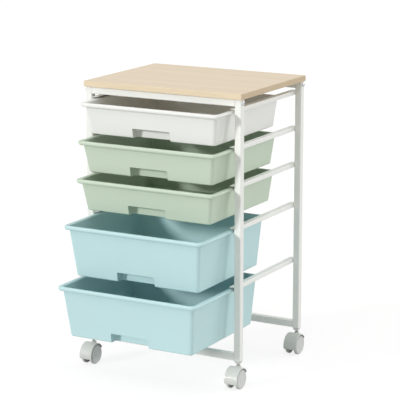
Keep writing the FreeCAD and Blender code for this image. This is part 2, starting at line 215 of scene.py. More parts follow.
class Graph:
    """The node tree of a material or of the world."""

    def __init__(self, owner: Union[bpy.types.Material, bpy.types.World]) -> None:
        """Starts the owner's node tree afresh.

        Args:
            owner: The material or the world.
        """
        owner.use_nodes = True
        self.tree = owner.node_tree
        self.tree.nodes.clear()

    def node(
        self,
        kind: str,
        settings: Optional[Dict[str, object]] = None,
        inputs: Optional[Dict[Union[int, str], object]] = None,
        output: Union[int, str] = 0,
    ) -> Signal:
        """Adds a node, sets it up and links it.

        Args:
            kind: The node's type.
            settings: Its own properties, set first. The key stops fills a colour ramp.
            inputs: What each socket gets, a plain value or a signal.
            output: The output to hand on.

        Returns:
            The chosen output, empty if the node ends the tree.
        """
        made = self.tree.nodes.new(kind)
        for name, value in (settings or {}).items():
            if name == "stops":
                self._fill_ramp(made.color_ramp, value)
            else:
                setattr(made, name, value)
        for key, value in (inputs or {}).items():
            if isinstance(value, Signal):
                self.tree.links.new(value.socket, made.inputs[key])
            else:
                made.inputs[key].default_value = value
        return Signal(self, made.outputs[output] if made.outputs else None)

    @staticmethod
    def _fill_ramp(ramp: bpy.types.ColorRamp, stops: Sequence[Tuple[float, Colour]]) -> None:
        """Gives a colour ramp its stops.

        Args:
            ramp: The ramp.
            stops: Each stop's place and colour, in order.
        """
        while len(ramp.elements) < len(stops):
            ramp.elements.new(1.0)
        for element, (position, colour) in zip(ramp.elements, stops):
            element.position = position
            element.color = colour

    def place(self, scale: Tuple[float, float, float] = (1.0, 1.0, 1.0)) -> Signal:
        """The piece's own coordinates in metres, stretched along each axis."""
        own = self.node("ShaderNodeTexCoord", output="Object")
        return self.node("ShaderNodeMapping", inputs={"Vector": own, "Scale": scale})

    def noise(
        self, place: Signal, scale: float, detail: float = 2.0, roughness: float = 0.5,
    ) -> Signal:
        """Smooth noise, about 0 to 1, with features one metre over scale across."""
        wanted = {"Vector": place, "Scale": scale, "Detail": detail, "Roughness": roughness}
        return self.node("ShaderNodeTexNoise", inputs=wanted, output="Fac")

    def mix(self, factor: Value, first: object, second: object) -> Signal:
        """Two colours mixed by a factor."""
        inputs = {0: factor, 6: first, 7: second}
        return self.node("ShaderNodeMix", {"data_type": "RGBA"}, inputs, 2)

    def clouded(self, cloud: Signal, colour: Colour, share: float) -> Signal:
        """A colour that sinks to a share of itself where the cloud is full."""
        red, green, blue = (share * level for level in colour[:3])
        return self.mix(cloud, colour, (red, green, blue, 1.0))

    def bump(self, height: Signal, depth: float) -> Signal:
        """A normal from a height, where 1 stands depth metres proud."""
        return self.node("ShaderNodeBump", inputs={"Height": height, "Distance": depth})

    def choose(self, lit: Signal, seen: Signal) -> Signal:
        """Joins a shader that only lights with one that the camera or a reflection sees.

        Args:
            lit: The shader that lights.
            seen: The shader that is seen.

        Returns:
            The joined shader.
        """
        rays = ("Is Camera Ray", "Is Glossy Ray", "Is Transmission Ray")
        camera, glossy, through = [self.node("ShaderNodeLightPath", output=ray) for ray in rays]
        inputs = {0: camera + glossy + through, 1: lit, 2: seen}
        return self.node("ShaderNodeMixShader", inputs=inputs)

    def close(self, **sockets: object) -> None:
        """Ends a material in a principled shader, its sockets named with underscores."""
        wanted = {name.replace("_", " "): value for name, value in sockets.items()}
        self.end(self.node("ShaderNodeBsdfPrincipled", inputs=wanted))

    def end(self, surface: Signal, kind: str = "ShaderNodeOutputMaterial") -> None:
        """Joins a surface to the tree's output."""
        self.node(kind, inputs={"Surface": surface})


@dataclass(frozen=True)
class Finish:
    """A finish of the cart, made as a material once and shared by its pieces."""

    name: str

    def material(self) -> bpy.types.Material:
        """The finish's material, made when it is first asked for.

        Returns:
            The material.
        """
        made = bpy.data.materials.get(self.name)
        if made is None:
            made = bpy.data.materials.new(self.name)
            self.make(Graph(made))
        return made

    def make(self, graph: Graph) -> None:
        """Builds the material's nodes."""
        raise NotImplementedError


@dataclass(frozen=True)
class MouldedPlastic(Finish):
    """Injection moulded plastic with a fine texture and slight clouding."""

    colour: Colour
    roughness: float = 0.40
    roughness_spread: float = 0.10
    gloss_scale: float = 85.0
    cloud_share: float = 0.96
    cloud_scale: float = 14.0
    texture_scale: float = 1700.0
    texture_depth: float = 0.00004
    coat: float = 0.0

    def make(self, graph: Graph) -> None:
        """Builds clouding in the colour, a spread in the gloss and a fine grain.

        Args:
            graph: The material's node tree.
        """
        place = graph.place()
        cloud = graph.noise(place, self.cloud_scale, detail=3.0)
        grain = graph.noise(place, self.texture_scale, detail=1.0)
        gloss = graph.noise(place, self.gloss_scale)
        graph.close(
            Base_Color=graph.clouded(cloud, self.colour, self.cloud_share),
            Roughness=self.roughness + self.roughness_spread * gloss,
            Coat_Weight=self.coat,
            Normal=graph.bump(grain, self.texture_depth),
        )


@dataclass(frozen=True)
class PowderCoat(Finish):
    """White powder coat: satin, with the slight orange peel of baked paint."""

    colour: Colour
    roughness: float = 0.33
    roughness_spread: float = 0.12
    peel_scale: float = 750.0
    peel_depth: float = 0.00003
    cloud_share: float = 0.975
    cloud_scale: float = 12.5

    def make(self, graph: Graph) -> None:
        """Builds the peel, and a faint change of tone over the length of a tube.

        Args:
            graph: The material's node tree.
        """
        place = graph.place()
        peel = graph.noise(place, self.peel_scale)
        cloud = graph.noise(place, self.cloud_scale)
        graph.close(
            Base_Color=graph.clouded(cloud, self.colour, self.cloud_share),
            Roughness=self.roughness + self.roughness_spread * peel,
            Normal=graph.bump(peel, self.peel_depth),
        )


@dataclass(frozen=True)
class WoodFoil(Finish):
    """Pale maple foil, its grain along X, with pores pressed into it."""

    light: Colour
    dark: Colour
    contrast: float = 0.55
    roughness: float = 0.42
    roughness_spread: float = 0.12
    grain_stretch: float = 0.045
    band_scale: float = 26.0
    band_share: float = 0.6
    line_scale: float = 260.0
    waver_scale: float = 6.5
    waver_stretch: float = 0.4
    waver_share: float = 0.25
    tone_start: float = 0.30
    tone_end: float = 0.72
    pore_scale: float = 900.0
    pore_stretch: float = 0.09
    pore_depth: float = 0.00005

    def make(self, graph: Graph) -> None:
        """Builds wide bands, fine lines and short pores, all drawn out along the grain.

        Args:
            graph: The material's node tree.
        """
        wide = graph.place((1.0, self.waver_stretch, self.waver_stretch))
        waver = graph.noise(wide, self.waver_scale) * (self.waver_share / self.band_scale)
        shift = graph.node("ShaderNodeCombineXYZ", inputs={"Y": waver})
        along = graph.place((self.grain_stretch, 1.0, 1.0))
        bent = graph.node("ShaderNodeVectorMath", {"operation": "ADD"}, {0: along, 1: shift})
        bands = graph.noise(bent, self.band_scale, detail=4.0, roughness=0.55)
        lines = graph.noise(bent, self.line_scale, detail=3.0, roughness=0.6)
        pores = graph.noise(graph.place((self.pore_stretch, 1.0, 1.0)), self.pore_scale)
        tone = graph.node(
            "ShaderNodeValToRGB",
            {"stops": ((self.tone_start, BLACK), (self.tone_end, WHITE))},
            {"Fac": bands * self.band_share + lines * (1 - self.band_share)},
        )
        graph.close(
            Base_Color=graph.mix(tone * self.contrast, self.light, self.dark),
            Roughness=self.roughness + self.roughness_spread * pores,
            Normal=graph.bump(pores, self.pore_depth),
        )


@dataclass(frozen=True)
class PlatedSteel(Finish):
    """Zinc plated or bright steel with fine turning marks."""

    colour: Colour
    roughness: float = 0.32
    roughness_spread: float = 0.15
    mark_scale: float = 1400.0
    mark_stretch: float = 0.15
    mark_depth: float = 0.00002
    cloud_share: float = 0.85
    cloud_scale: float = 175.0

    def make(self, graph: Graph) -> None:
        """Builds turning marks round the piece and a spread in the gloss.

        Args:
            graph: The material's node tree.
        """
        marks = graph.noise(graph.place((1.0, self.mark_stretch, 1.0)), self.mark_scale)
        cloud = graph.noise(graph.place(), self.cloud_scale)
        graph.close(
            Base_Color=graph.clouded(cloud, self.colour, self.cloud_share),
            Metallic=1.0,
            Roughness=self.roughness + self.roughness_spread * marks,
            Normal=graph.bump(marks, self.mark_depth),
        )


@dataclass(frozen=True)
class StudioFloor(Finish):
    """The pale floor, which looks white to the camera and keeps shadows."""

    colour: Colour
    seen_colour: Colour
    glow: float

    def make(self, graph: Graph) -> None:
        """Joins a matt surface with one that glows a little where it is seen.

        Args:
            graph: The material's node tree.
        """
        matt = graph.node("ShaderNodeBsdfDiffuse", inputs={"Color": self.colour})
        pale = graph.node("ShaderNodeBsdfDiffuse", inputs={"Color": self.seen_colour})
        glow = graph.node("ShaderNodeEmission", inputs={"Strength": self.glow})
        shown = graph.node("ShaderNodeAddShader", inputs={0: pale, 1: glow})
        graph.end(graph.choose(matt, shown))


WOOD_TOP = WoodFoil(
    "maple_foil", light=shown_colour(236, 219, 192), dark=shown_colour(212, 190, 156),
)
WOOD_EDGE = WoodFoil(
    "maple_edging", light=shown_colour(237, 219, 189), dark=shown_colour(216, 193, 158),
    contrast=0.4,
)
# The left and right edges are given a darker tone than the front and rear edges.
WOOD_SIDE_EDGE = WoodFoil(
    "maple_end_edging", light=shown_colour(208, 187, 154), dark=shown_colour(186, 162, 128),
    contrast=0.4,
)
FRAME_WHITE = PowderCoat("white_powder_coat", shown_colour(247, 248, 243))
DRAWER_WHITE = MouldedPlastic("white_drawer_plastic", shown_colour(245, 246, 242))
DRAWER_GREEN = MouldedPlastic("green_drawer_plastic", shown_colour(206, 221, 201))
DRAWER_BLUE = MouldedPlastic("blue_drawer_plastic", shown_colour(198, 230, 232))
CASTER_PLASTIC = MouldedPlastic(
    "caster_plastic", shown_colour(214, 217, 211), roughness=0.45, coat=0.1,
)
# Dark grey for the ribs over the wheels: painted shade of the gaps between the hood and the wheels.
GAP_SHADE_PLASTIC = MouldedPlastic("guard_plastic", shown_colour(128, 130, 127), roughness=0.55)
WHEEL_PLASTIC = MouldedPlastic(
    "wheel_plastic", shown_colour(246, 248, 243), roughness=0.38, coat=0.8,
)
SOCKET_PLASTIC = MouldedPlastic("socket_plastic", shown_colour(222, 222, 218), roughness=0.45)
INSERT_PLASTIC = MouldedPlastic("insert_plastic", shown_colour(90, 90, 90), roughness=0.5)
BOLT_STEEL = PlatedSteel("bolt_steel", shown_colour(138, 138, 136), roughness=0.50)
SHAFT_STEEL = PlatedSteel("shaft_steel", shown_colour(170, 170, 168), roughness=0.28)
FLOOR_WHITE = StudioFloor(
    "studio_floor", shown_colour(200, 200, 199), shown_colour(142, 142, 141), glow=0.79,
)


@dataclass(frozen=True)
class Rect:
    """A rectangle with rounded corners, seen from above: the outline of a section."""

    low_x: float
    low_y: float
    high_x: float
    high_y: float
    radius: float

    def inset(self, width: float) -> "Rect":
        """The outline drawn in by a width all round.

        Args:
            width: How far it is drawn in.

        Returns:
            The smaller outline.
        """
        return Rect(
            self.low_x + width, self.low_y + width, self.high_x - width, self.high_y - width,
            self.radius - width,
        )

    def corner_centre(self, place: Vector) -> Vector:
        """The centre of the rounded corner that is nearest to a place.

        Args:
            place: The place.

        Returns:
            The centre, at the place's height.
        """
        right = place.x > (self.low_x + self.high_x) / 2
        rear = place.y > (self.low_y + self.high_y) / 2
        x = self.high_x - self.radius if right else self.low_x + self.radius
        y = self.high_y - self.radius if rear else self.low_y + self.radius
        return Vector((x, y, place.z))

    def fit(self, verts: Iterable[Vert], other: "Rect", z: float) -> None:
        """Moves the corners' vertices from this outline to another one.

        Args:
            verts: The vertices to move.
            other: The outline that they lie on afterwards.
            z: Their new height.
        """
        growth = other.radius / self.radius
        for vert in verts:
            centre = self.corner_centre(vert.co)
            new_centre = other.corner_centre(vert.co)
            vert.co = new_centre + (vert.co - centre) * growth
            vert.co.z = z


class Sketch:
    """A mesh in the making, with the few operations that the cart's pieces need."""

    def __init__(self) -> None:
        """Starts with an empty mesh."""
        self.bm = bmesh.new()

    def block(self, low: Place, high: Place) -> List[Vert]:
        """Adds a block.

        Args:
            low: Its lowest corner.
            high: Its highest corner.

        Returns:
            Its vertices.
        """
        low, high = Vector(low), Vector(high)
        verts = bmesh.ops.create_cube(self.bm, size=1.0)["verts"]
        bmesh.ops.scale(self.bm, vec=high - low, verts=verts)
        bmesh.ops.translate(self.bm, vec=(low + high) / 2, verts=verts)
        return verts

    def plate(self, area: Rect, z: float, steps: int) -> List[Edge]:
        """Adds a level face with rounded corners, as the mesh's first face.

        Args:
            area: The outline that the face fills.
            z: Its height.
            steps: The number of edges in each corner.

        Returns:
            The face's edges.
        """
        corners = (
            (area.low_x, area.low_y), (area.high_x, area.low_y),
            (area.high_x, area.high_y), (area.low_x, area.high_y),
        )
        verts = [self.bm.verts.new((x, y, z)) for x, y in corners]
        self.bm.faces.new(verts)
        self.round(verts, area.radius, steps, corners=True)
        return self.edges(lambda edge: lies_at(edge, Axis.Z, z))

    def edges(self, test: Callable[[Edge], bool]) -> List[Edge]:
        """The edges that a test accepts."""
        return [edge for edge in self.bm.edges if test(edge)]

    def faces(self, test: Callable[[Face], bool]) -> List[Face]:
        """The faces that a test accepts."""
        return [face for face in self.bm.faces if test(face)]

    def since(self, before: Set[Face]) -> List[Face]:
        """The faces that weren't there before."""
        return self.faces(lambda face: face not in before)

    def round(
        self, items: Iterable[Element], radius: float, steps: int, corners: bool = False,
    ) -> None:
        """Rounds edges, or the corners of a face, to a radius.

        Args:
            items: The edges, or else the vertices at the corners.
            radius: The radius.
            steps: The number of steps round each of them.
            corners: Whether the items are vertices.
        """
        bmesh.ops.bevel(
            self.bm, geom=list(items), offset=radius, offset_type="OFFSET", segments=steps,
            profile=0.5, affect="VERTICES" if corners else "EDGES", clamp_overlap=not corners,
            material=-1,
        )

    def carry(self, loop: Sequence[Edge], now: Rect, then: Rect, z: float) -> List[Edge]:
        """Extrudes a loop of edges and fits the new loop to another outline.

        Args:
            loop: The loop.
            now: The outline that it lies on.
            then: The outline that the new loop lies on.
            z: The new loop's height.

        Returns:
            The new loop.
        """
        made = bmesh.ops.extrude_edge_only(self.bm, edges=loop)["geom"]
        verts = set(only(Vert, made))
        now.fit(verts, then, z)
        return [edge for edge in only(Edge, made) if set(edge.verts) <= verts]

    def cut(self, axis: Axis, value: float, faces: Optional[Sequence[Face]] = None) -> None:
        """Cuts faces along a plane square to an axis and keeps both sides.

        Args:
            axis: The axis.
            value: Where the plane crosses it.
            faces: The faces, or all of them if none are given.
        """
        chosen = self.bm.faces if faces is None else faces
        bmesh.ops.bisect_plane(
            self.bm, geom=with_parts(chosen), dist=MERGE_DISTANCE,
            plane_co=axis.direction * value, plane_no=axis.direction,
        )

    def remove(self, faces: List[Face]) -> None:
        """Deletes faces, with the edges and vertices that only they use."""
        bmesh.ops.delete(self.bm, geom=faces, context="FACES")

    def spin(
        self, items: List[Element], centre: Vector, axis: Vector, angle: float, steps: int,
        closed: bool = False,
    ) -> None:
        """Sweeps vertices and edges about an axis.

        Args:
            items: The vertices and edges.
            centre: A point on the axis.
            axis: The axis's direction.
            angle: How far they are swept.
            steps: The number of steps in the sweep.
            closed: Whether the last step joins the first.
        """
        bmesh.ops.spin(
            self.bm, geom=items, cent=centre, axis=axis, angle=angle, steps=steps,
            use_merge=closed, use_normal_flip=False, use_duplicate=False,
        )

    def turn(self, start: Place, axis: Vector, outline: Outline, steps: int) -> None:
        """Adds a turned form, such as a pin or a wheel.

        Args:
            start: The point on the axis from which the outline counts.
            axis: The axis's direction.
            outline: Pairs of a place along the axis and a radius, from end to end.
            steps: The number of steps in the full turn.
        """
        start = Vector(start)
        out = Axis.X.direction if abs(axis.z) > ALIGNED else Axis.Z.direction
        points = [start + axis * along + out * radius for along, radius in outline]
        verts = [self.bm.verts.new(point) for point in points]
        edges = [self.bm.edges.new(pair) for pair in zip(verts, verts[1:])]
        self.spin([*verts, *edges], start, axis, math.tau, steps, closed=True)
        bmesh.ops.remove_doubles(self.bm, verts=self.bm.verts, dist=MERGE_DISTANCE)

    def thicken(self, thickness: float) -> None:
        """Turns an open skin into a wall, drawn inwards from its outer side."""
        bmesh.ops.solidify(self.bm, geom=list(self.bm.faces), thickness=thickness)

    def outward(self) -> None:
        """Merges doubles and points every face outwards."""
        bmesh.ops.remove_doubles(self.bm, verts=self.bm.verts, dist=MERGE_DISTANCE)
        bmesh.ops.recalc_face_normals(self.bm, faces=self.bm.faces)

    def piece(self, name: str, finishes: Sequence[Finish]) -> bpy.types.Object:
        """Ends the sketch as an object.

        Args:
            name: The object's name.
            finishes: Its finishes, in the order of the faces' material indices.

        Returns:
            The object, linked to the scene.
        """
        mesh = bpy.data.meshes.new(name)
        self.bm.to_mesh(mesh)
        self.bm.free()
        for finish in finishes:
            mesh.materials.append(finish.material())
        mesh.polygons.foreach_set("use_smooth", [True] * len(mesh.polygons))
        made = bpy.data.objects.new(name, mesh)
        bpy.context.scene.collection.objects.link(made)
        return made


class Workshop:
    """What the record says of each node, and how a piece takes a node's place."""

    normal_weight: int = 60

    def __init__(self, record: Dict[str, object]) -> None:
        """Reads which body and which material slot each node has.

        Args:
            record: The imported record.
        """
        bodies = record["behaviour"]["bodies"]
        self.body = {node: body for body, nodes in bodies.items() for node in nodes}
        self.slot = {entry["node"]: entry["material_slot"] for entry in record["subparts"]}

    def deliver(
        self, sketch: Sketch, name: str, finishes: Sequence[Finish], node: str,
        softness: float = 0.0,
    ) -> None:
        """Ends a closed sketch as a piece that stands for a node.

        Args:
            sketch: The sketch.
            name: The piece's name.
            finishes: The piece's finishes.
            node: The node.
            softness: The width of the rounding on sharp edges.
        """
        sketch.outward()
        piece = sketch.piece(name, finishes)
        self.soften(piece, softness)
        self.settle(piece, node)

    def soften(
        self, piece: bpy.types.Object, width: float, segments: int = 2, angle: float = 40.0,
    ) -> None:
        """Rounds a piece's sharp edges a little and keeps its flats flat beside them.

        Args:
            piece: The piece.
            width: The width of the rounding, or 0 for none.
            segments: The number of steps in it.
            angle: The degrees between two faces past which their edge is sharp.
        """
        if width:
            bevel = piece.modifiers.new("soft_edges", "BEVEL")
            bevel.width = width
            bevel.segments = segments
            bevel.limit_method = "ANGLE"
            bevel.angle_limit = math.radians(angle)
        weigh = piece.modifiers.new("flat_faces", "WEIGHTED_NORMAL")
        weigh.mode = "FACE_AREA"
        weigh.weight = self.normal_weight

    def settle(self, piece: bpy.types.Object, *nodes: str) -> None:
        """Lets a piece stand for nodes of one body.

        Args:
            piece: The piece.
            *nodes: The nodes. The piece takes the body of the first.
        """
        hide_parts(*nodes)
        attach(piece, self.body[nodes[0]])
        faces = len(piece.data.polygons)
        log.info("%s: %d faces, rides on %s", piece.name, faces, self.body[nodes[0]])


@dataclass
class TopPanel:
    """The wooden top: foil above and below, edging all round, with a fine seam between."""

    node: str = "top_panel"
    finishes: Tuple[Finish, ...] = (WOOD_TOP, WOOD_EDGE, WOOD_SIDE_EDGE)
    corner_radius: float = 0.0025
    corner_steps: int = 6
    edge_radius: float = 0.0012
    edge_steps: int = 4
    seam_width: float = 0.0002
    seam_depth: float = 0.00012

    def build(self, shop: Workshop) -> None:
        """Builds the board between the corners of its node.

        Args:
            shop: Takes the finished piece.
        """
        low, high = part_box(self.node)
        sketch = Sketch()
        sketch.block(low, high)
        upright = sketch.edges(lambda edge: runs_along(edge, Axis.Z))
        sketch.round(upright, self.corner_radius, self.corner_steps)
        for z in (low.z, high.z):
            level = sketch.edges(lambda edge: lies_at(edge, Axis.Z, z))
            sketch.round(level, self.edge_radius, self.edge_steps)
        sketch.outward()
        for face in sketch.bm.faces:
            # Faces that face left or right take the darker edging.
            edging = WOOD_SIDE_EDGE if abs(face.normal.x) > abs(face.normal.y) else WOOD_EDGE
            face.material_index = self.finishes.index(edging)
        for face in sketch.faces(lambda face: abs(face.normal.z) > ALIGNED):
            face.material_index = self.finishes.index(WOOD_TOP)
            for depth in (-self.seam_depth, self.seam_depth):
                bmesh.ops.inset_region(
                    sketch.bm, faces=[face], thickness=self.seam_width, depth=depth,
                )
        shop.deliver(sketch, "wooden_top", self.finishes, self.node)


@dataclass
class WeldBead:
    """A short row of weld ripples."""

    radius: float = 0.0008
    ripple: float = 0.0012
    sides: int = 16
    ripples: int = 7

    def add(self, sketch: Sketch, centre: Vector, axis: Axis) -> None:
        """Adds the bead to a sketch.

        Args:
            sketch: The mesh to add it to.
            centre: The bead's middle.
            axis: The axis along which it runs.
        """
        for index in range(self.ripples):
            along = (index - (self.ripples - 1) / 2) * self.ripple
            bmesh.ops.create_uvsphere(
                sketch.bm, u_segments=self.sides, v_segments=self.sides // 2, radius=self.radius,
                matrix=Matrix.Translation(centre + axis.direction * along),
            )


@dataclass
class SquareTube:
    """A length of square tube, open at both ends, plain or welded at its ends."""

    node: str
    axis: Axis
    welds: Optional[WeldBead] = None
    corner_radius: float = 0.002
    corner_steps: int = 6
    wall: float = 0.0012
    softness: float = 0.0002

    def build(self, shop: Workshop) -> None:
        """Builds the tube between the corners of its node.

        Args:
            shop: Takes the finished piece.
        """
        low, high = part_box(self.node)
        sketch = Sketch()
        sketch.block(low, high)
        along = sketch.edges(lambda edge: runs_along(edge, self.axis))
        sketch.round(along, self.corner_radius, self.corner_steps)
        sketch.outward()
        ends = sketch.faces(lambda face: abs(face.normal.dot(self.axis.direction)) > ALIGNED)
        sketch.remove(ends)
        sketch.thicken(self.wall)
        if self.welds:
            for x in (low.x, high.x):
                for z in (low.z, high.z):
                    self.welds.add(sketch, Vector((x, middle(self.node).y, z)), Axis.Y)
        shop.deliver(sketch, f"{self.node}_tube", (FRAME_WHITE,), self.node, self.softness)


@dataclass
class Runner:
    """A runner: a C of folded sheet, open towards its drawer, with a stop tab near its rear."""

    side: Side
    number: int
    sheet: float = 0.001
    fold_radius: float = 0.0016
    fold_steps: int = 5
    nose_radius: float = 0.003
    nose_steps: int = 4
    stop_width: float = 0.008
    stop_clearance: float = 0.0005
    stop_corner: float = 0.0018
    stop_steps: int = 3
    softness: float = 0.0002

    @property
    def node(self) -> str:
        """The runner's node."""
        return f"{self.side.word}_runner_{self.number}"

    def stop_front(self) -> float:
        """Finds where the drawer's rear rim stops when the drawer is shut.

        Returns:
            The place along Y.
        """
        drawer = f"drawer_{self.number}"
        slide = next(joint for joint in frame["joints"] if joint["child"] == drawer)
        shut = -slide["range_m"][0]
        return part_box(drawer)[1].y + shut + self.stop_clearance

    def build(self, shop: Workshop) -> None:
        """Builds the folded sheet between the corners of its node.

        Args:
            shop: Takes the finished piece.
        """
        low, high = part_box(self.node)
        web_x, mouth_x = (high.x, low.x) if self.side is Side.RIGHT else (low.x, high.x)
        sketch = Sketch()
        sketch.block(low, high)
        sketch.outward()
        sketch.remove(sketch.faces(
            lambda face: face.normal.dot(self.side.out) < -ALIGNED or abs(face.normal.y) > ALIGNED
        ))
        folds = sketch.edges(lambda edge: lies_at(edge, Axis.X, web_x) and runs_along(edge, Axis.Y))
        sketch.round(folds, self.fold_radius, self.fold_steps)
        noses = [vert for vert in sketch.bm.verts if abs(vert.co.x - mouth_x) < NEAR]
        sketch.round(noses, self.nose_radius, self.nose_steps, corners=True)
        sketch.thicken(self.sheet)
        self.add_stop(sketch, low, high, web_x)
        shop.deliver(sketch, f"{self.node}_channel", (FRAME_WHITE,), self.node, self.softness)

    def add_stop(self, sketch: Sketch, low: Vector, high: Vector, web_x: float) -> None:
        """Adds the tab that is folded out of the web.

        Args:
            sketch: The mesh to add it to.
            low: The runner's lowest corner.
            high: The runner's highest corner.
            web_x: Where the web's outer face lies.
        """
        near_x = web_x - self.side.value * self.sheet
        far_x = near_x - self.side.value * self.stop_width
        front = self.stop_front()
        tab = set(sketch.block(
            (min(near_x, far_x), front, low.z + self.sheet),
            (max(near_x, far_x), front + self.sheet, high.z - self.sheet),
        ))
        across = [
            edge for edge in sketch.edges(lambda edge: set(edge.verts) <= tab)
            if lies_at(edge, Axis.X, far_x) and runs_along(edge, Axis.Y)
        ]
        sketch.round(across, self.stop_corner, self.stop_steps)


@dataclass(frozen=True)
class DrawerForm:
    """The slopes of one depth of drawer."""

    side_taper: float
    front_taper: float
    rear_taper: float = 0.004


SHALLOW = DrawerForm(side_taper=0.010, front_taper=0.013)
DEEP = DrawerForm(side_taper=0.0115, front_taper=0.016)


@dataclass
class Drawer:
    """A moulded drawer: a tapered tub with a rolled rim and a finger recess."""

    number: int
    form: DrawerForm
    finish: Finish
    wall: float = 0.0022
    corner_radius: float = 0.008
    corner_steps: int = 8
    foot_radius: float = 0.003
    foot_steps: int = 5
    side_reach: float = 0.010
    end_reach: float = 0.006
    rim_corner_radius: float = 0.013
    side_lip: float = 0.004
    front_lip: float = 0.008
    lip_ramp_start: float = 0.004
    lip_ramp_end: float = 0.013
    hem_reach: float = 0.0015
    side_hem: float = 0.0008
    front_hem: float = 0.0022
    hem_radius: float = 0.0003
    hem_steps: int = 2
    fold_radius: float = 0.0012
    roll_radius: float = 0.0007
    rim_steps: int = 3
    recess_half_width: float = 0.048
    recess_height: float = 0.022
    recess_depth: float = 0.024
    recess_radius: float = 0.0028
    recess_steps: int = 4
    softness: float = 0.0005
    softness_steps: int = 3
    softness_angle: float = 50.0

    @property
    def node(self) -> str:
        """The drawer's node."""
        return f"drawer_{self.number}"

    def section(self, depth: float) -> Rect:
        """Works out the tub's outline at a depth under the rim's top.

        Args:
            depth: The depth.

        Returns:
            The outline.
        """
        low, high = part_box(self.node)
        share = depth / (high.z - low.z)
        half = high.x - self.side_reach - self.form.side_taper * share
        front = low.y + self.end_reach + self.form.front_taper * share
        rear = high.y - self.end_reach - self.form.rear_taper * share
        return Rect(-half, front, half, rear, self.corner_radius)

    def build(self, shop: Workshop) -> None:
        """Builds the drawer's outer skin and gives it its wall.

        Args:
            shop: Takes the finished piece.
        """
        low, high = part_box(self.node)
        sketch = Sketch()
        foot, mouth = self.section(high.z - low.z), self.section(self.wall)
        loop = sketch.plate(foot, low.z, self.corner_steps)
        top = sketch.carry(loop, foot, mouth, high.z - self.wall)
        sketch.round(loop, self.foot_radius, self.foot_steps)
        lip = Rect(low.x, low.y, high.x, high.y, self.rim_corner_radius).inset(self.wall)
        fold = sketch.carry(top, mouth, lip, high.z - self.wall)
        roll = sketch.carry(fold, lip, lip, high.z - self.side_lip + self.side_hem)
        hem = sketch.carry(roll, lip, lip.inset(self.hem_reach), high.z - self.side_lip)
        drop = self.front_lip - self.side_lip
        self.drop_front(hem, low.y, drop)
        self.drop_front(roll, low.y, drop - self.front_hem + self.side_hem)
        sketch.round(top, self.fold_radius, self.rim_steps)
        sketch.round(fold, self.roll_radius, self.rim_steps)
        sketch.round(roll, self.hem_radius, self.hem_steps)
        self.cut_recess(sketch, low, high)
        sketch.outward()
        floor = max(sketch.bm.faces, key=lambda face: face.calc_area())
        if floor.normal.z > 0:
            bmesh.ops.reverse_faces(sketch.bm, faces=sketch.bm.faces)
        piece = sketch.piece(f"{self.node}_tub", (self.finish,))
        self.add_wall(piece)
        shop.soften(piece, self.softness, self.softness_steps, self.softness_angle)
        shop.settle(piece, self.node)

    def add_wall(self, piece: bpy.types.Object) -> None:
        """Gives the skin its wall, on the inner side.

        Args:
            piece: The drawer's piece.
        """
        wall = piece.modifiers.new("wall", "SOLIDIFY")
        wall.thickness = self.wall
        wall.offset = -1.0
        wall.use_even_offset = True
        wall.use_quality_normals = True

    def drop_front(self, loop: Sequence[Edge], front: float, drop: float) -> None:
        """Lowers a loop of the lip along the front, with a slope round each corner.

        Args:
            loop: The loop's edges.
            front: Where the rim's front lies.
            drop: How much lower the loop goes.
        """
        slope = self.lip_ramp_end - self.lip_ramp_start
        for vert in {vert for edge in loop for vert in edge.verts}:
            share = (front + self.lip_ramp_end - vert.co.y) / slope
            vert.co.z -= drop * min(max(share, 0.0), 1.0)

    def cut_recess(self, sketch: Sketch, low: Vector, high: Vector) -> None:
        """Opens the finger recess in the front wall and the floor, and closes it off inside.

        Args:
            sketch: The drawer's skin.
            low: The drawer's lowest corner.
            high: The drawer's highest corner.
        """
        half, roof = self.recess_half_width, low.z + self.recess_height
        back = self.section(high.z - roof).low_y + self.recess_depth
        for x in (-half, half):
            sketch.cut(Axis.X, x)

        def between(face: Face) -> bool:
            """Says whether a face lies between the recess's sides."""
            return abs(face.calc_center_median().x) < half

        def in_front(face: Face) -> bool:
            """Says whether a face between the sides reaches in front of the recess's back."""
            return between(face) and min(vert.co.y for vert in face.verts) < back

        def in_recess(face: Face) -> bool:
            """Says whether a face lies where the recess opens."""
            centre = face.calc_center_median()
            return between(face) and centre.z < roof and centre.y < back

        sketch.cut(Axis.Z, roof, sketch.faces(in_front))
        sketch.cut(Axis.Y, back, sketch.faces(in_front))
        sketch.remove(sketch.faces(in_recess))
        self.line_recess(sketch, half, roof, back)

    def line_recess(self, sketch: Sketch, half: float, roof: float, back: float) -> None:
        """Adds the recess's sides, roof and back, with rounded inner corners.

        Args:
            sketch: The drawer's skin, open where the recess is.
            half: Half the recess's width.
            roof: The height of its roof.
            back: Where its back lies.
        """
        mesh = sketch.bm
        rim = sketch.edges(
            lambda edge: edge.is_boundary and all(vert.co.z < roof + NEAR for vert in edge.verts)
        )
        sides, eaves, posts = [], [], []
        for x in (-half, half):
            line = [edge for edge in rim if lies_at(edge, Axis.X, x)]
            verts = {vert for edge in line for vert in edge.verts}
            front_top = max(verts, key=lambda vert: vert.co.z)
            rear_foot = max(verts, key=lambda vert: vert.co.y)
            corner = mesh.verts.new((x, back, roof))
            eaves.append(mesh.edges.new((front_top, corner)))
            posts.append(mesh.edges.new((corner, rear_foot)))
            sides.append([*line, eaves[-1], posts[-1]])
        ridge = mesh.edges.new([post.verts[0] for post in posts])
        lintel = [edge for edge in rim if lies_at(edge, Axis.Z, roof)]
        sill = [edge for edge in rim if lies_at(edge, Axis.Y, back)]
        for loop in (*sides, [*lintel, *eaves, ridge], [*sill, *posts, ridge]):
            bmesh.ops.contextual_create(mesh, geom=loop)
        sketch.round([*eaves, *posts, ridge], self.recess_radius, self.recess_steps)


